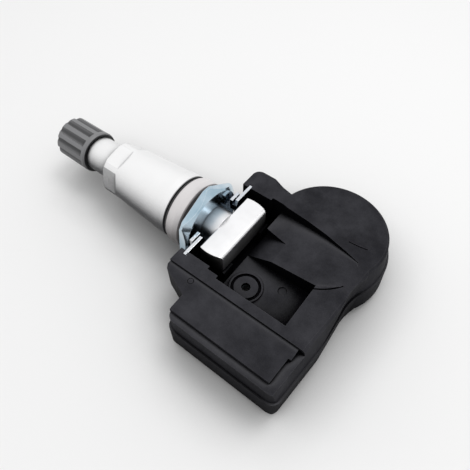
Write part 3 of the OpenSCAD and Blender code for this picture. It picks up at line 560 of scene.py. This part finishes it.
# marks moulded into the upper shell: arcs on its top faces, cut as a V; millimetres and degrees
marks = dict(
    domeLine=dict(middle=(28.63, 7.91), radius=11.76, start=-70, end=-33, level=3.8, width=0.44, depth=0.40),
    deckLine=dict(middle=(33.9, 30.8), radius=19.7, start=-89, end=-77, level=3.8, width=0.40, depth=0.26),
    earPin=dict(middle=(14.5, -15.0), radius=0.6, start=0, end=360, level=3.2, width=0.20, depth=0.14))
markStep, markLift, fewestSteps = 3, 0.02, 4
sharpAngle = 30


def addMark(form, mark):
    # one closed V-shaped tool along an arc, which starts a little above the face that it cuts
    sweep = mark["end"] - mark["start"]
    closed = sweep == 360
    count = max(fewestSteps, round(sweep / markStep))
    rows = []
    for k in range(count if closed else count + 1):
        angle = math.radians(mark["start"] + sweep * k / count)
        profile = ((-mark["width"] / 2, markLift), (mark["width"] / 2, markLift), (0, -mark["depth"]))
        rows.append([form.verts.new((
            (mark["middle"][0] + (mark["radius"] + out) * math.cos(angle)) * mm,
            (mark["middle"][1] + (mark["radius"] + out) * math.sin(angle)) * mm,
            (mark["level"] + rise) * mm)) for out, rise in profile])
    for near, far in zip(rows, rows[1:] + rows[:1] if closed else rows[1:]):
        for k in range(3):
            form.faces.new((near[k], near[k - 1], far[k - 1], far[k]))
    if not closed:
        form.faces.new(rows[0])
        form.faces.new(reversed(rows[-1]))


def markHousing():
    # cuts the marks into a copy of the shell, then gives it smooth faces with sharp corners
    tool = addObject("markTool", bpy.data.meshes.new("markTool"))
    form = bmesh.new()
    for mark in marks.values():
        addMark(form, mark)
    bmesh.ops.recalc_face_normals(form, faces=form.faces)
    form.to_mesh(tool.data)
    form.free()
    mesh, form = mergedCopy("upper_shell")
    form.to_mesh(mesh)
    form.free()
    shell = addObject("markedShell", mesh)
    cut = shell.modifiers.new("marks", "BOOLEAN")
    cut.operation, cut.solver, cut.object = "DIFFERENCE", "EXACT", tool
    bpy.context.view_layer.update()
    marked = bpy.data.meshes.new_from_object(shell.evaluated_get(bpy.context.evaluated_depsgraph_get()))
    shell.modifiers.clear()
    shell.data = marked
    bpy.data.objects.remove(tool)
    form = bmesh.new()
    form.from_mesh(marked)
    for edge in form.edges:
        edge.smooth = edge.calc_face_angle(math.pi) < math.radians(sharpAngle)
    for face in form.faces:
        face.smooth = True
    openEdges = sum(not edge.is_manifold for edge in form.edges)
    form.to_mesh(marked)
    form.free()
    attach(shell, "sensor")
    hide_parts("upper_shell")
    print("shell marked:", len(marked.polygons), "faces,", openEdges, "open edges")


cutThread()
windCoil()
markHousing()


def addFloor():
    level = cadBox[0][2]
    half = light["floorHalf"]
    mesh = bpy.data.meshes.new("floor")
    corners = [(-half, -half, level), (half, -half, level), (half, half, level), (-half, half, level)]
    mesh.from_pydata(corners, [], [(0, 1, 2, 3)])
    floor = addObject("floor", mesh)
    f = Finish("floorPaper", roughness=0.9)
    tone, near = light["floorTone"], light["floorShadow"]
    cloud = f.noise(light["floorCloud"], 2)
    paper = f.blend(cloud, (tone,) * 3, (tone * light["floorLift"],) * 3)
    # painted shadow: the floor is darker close under and beside the object
    f.feed(baseColor=f.blend(f.openness(15, 0.25, 0.95), (near,) * 3, paper))
    mesh.materials.append(f.material)


def lightWorld():
    # a light tent: bright above and dim at the sides, with the light that a pale table sends up
    world = bpy.data.worlds.new("lightTent")
    bpy.context.scene.world = world
    world.use_nodes = True
    sky = Web()
    sky.tree = world.node_tree
    way = sky.add("ShaderNodeTexCoord", output="Generated")
    facing = sky.add("ShaderNodeVectorMath", dict(operation="DOT_PRODUCT"),
                     {0: way, 1: Vector(light["skyAim"]).normalized()}, "Value")
    glow, under = (
        sky.add("ShaderNodeMapRange", dict(interpolation_type="SMOOTHSTEP"), {
            "Value": facing, "From Min": start, "From Max": end, "To Min": dim, "To Max": bright})
        for (start, end), dim, bright in (
            (light["skyRange"], light["skyDim"], light["skyBright"]),
            (light["belowRange"], 0.0, light["below"])))
    # the background that the camera, metal and glass show is pale all round
    rays = sky.add("ShaderNodeLightPath").socket.node.outputs
    seen = sum(Wire(sky, rays[kind]) for kind in ("Is Camera Ray", "Is Glossy Ray", "Is Transmission Ray"))
    strength = (glow + under).most(seen.least(1.0) * light["shown"])
    background = world.node_tree.nodes["Background"].inputs
    sky.tree.links.new(strength.socket, background["Strength"])
    background["Color"].default_value = (1, 1, 1, 1)


addCamera()
addFloor()
lightWorld()
addLamp("key", light["keyPower"], light["keySize"], light["keyPlace"])
bpy.context.scene.view_settings.view_transform = "Standard"
print("view and light set")
